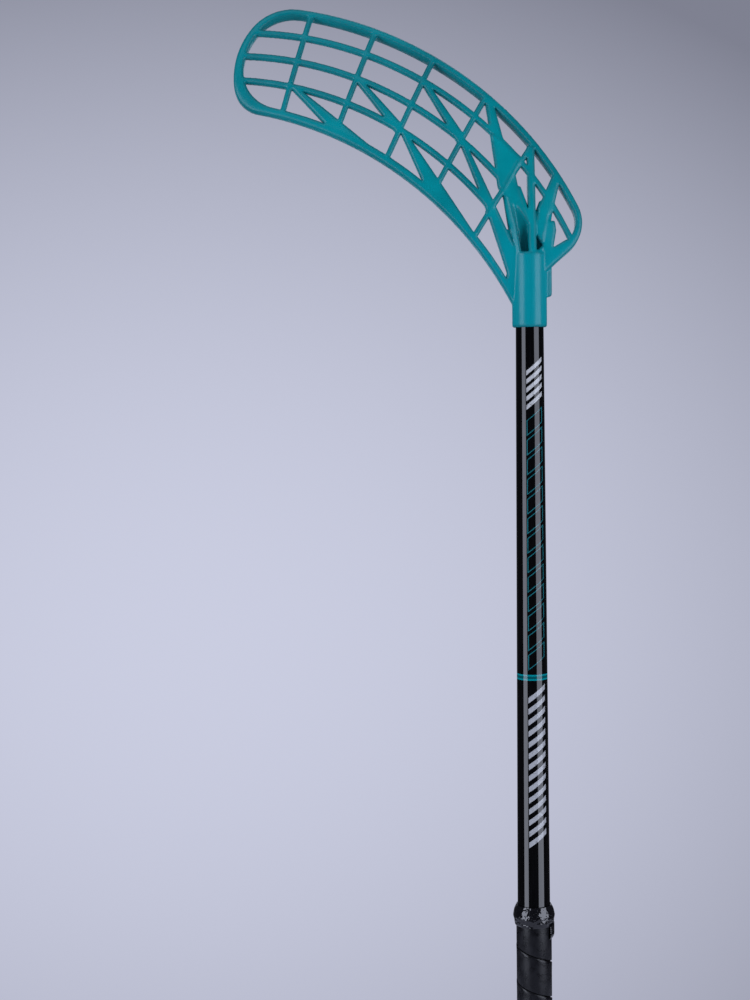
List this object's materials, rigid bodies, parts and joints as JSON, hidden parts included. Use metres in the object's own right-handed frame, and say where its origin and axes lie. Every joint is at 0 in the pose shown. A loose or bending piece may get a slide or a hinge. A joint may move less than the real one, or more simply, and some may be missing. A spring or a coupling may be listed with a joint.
{
  "type": "floorball stick",
  "caption": "Floorball stick: curved openwork blade whose tubular hosel is screwed to a tapered hollow shaft with a wound grip band, finishing tape and an end plug.",
  "frame": {"origin": "centre of the flat end face of the end plug, on the shaft's axis", "axes": "+Z along the shaft from the butt end to the blade, +X to the blade's heel, -Y to the blade's backhand side"},
  "size_m": [0.259, 0.0571, 1.1161],
  "materials": {
    "blade_plastic": "moulded, semi-gloss teal",
    "shaft_lacquer": "black clear-coated composite",
    "screw_steel": "plain zinc-plated steel",
    "plug_rubber": "matte black",
    "grip_foam": "soft black band with a satin skin",
    "tape_vinyl": "glossy black tape, creased"
  },
  "bodies": {
    "stick": {"shaft_tube": "shaft_lacquer", "blade": "blade_plastic", "grip_band": "grip_foam", "finishing_tape": "tape_vinyl"},
    "end_plug": {"end_plug": "plug_rubber"},
    "upper_blade_screw": {"upper_blade_screw": "screw_steel"},
    "lower_blade_screw": {"lower_blade_screw": "screw_steel"}
  },
  "joints": [
    {"name": "end_plug_pull", "type": "slide", "parent": "stick", "child": "end_plug", "axis": [0, 0, -1], "range_m": [0, 0.03]},
    {"name": "upper_screw_out", "type": "slide", "parent": "stick", "child": "upper_blade_screw", "axis": [0, 1, 0], "range_m": [0, 0.01]},
    {"name": "lower_screw_out", "type": "slide", "parent": "stick", "child": "lower_blade_screw", "axis": [0, 1, 0], "range_m": [0, 0.01]}
  ]
}
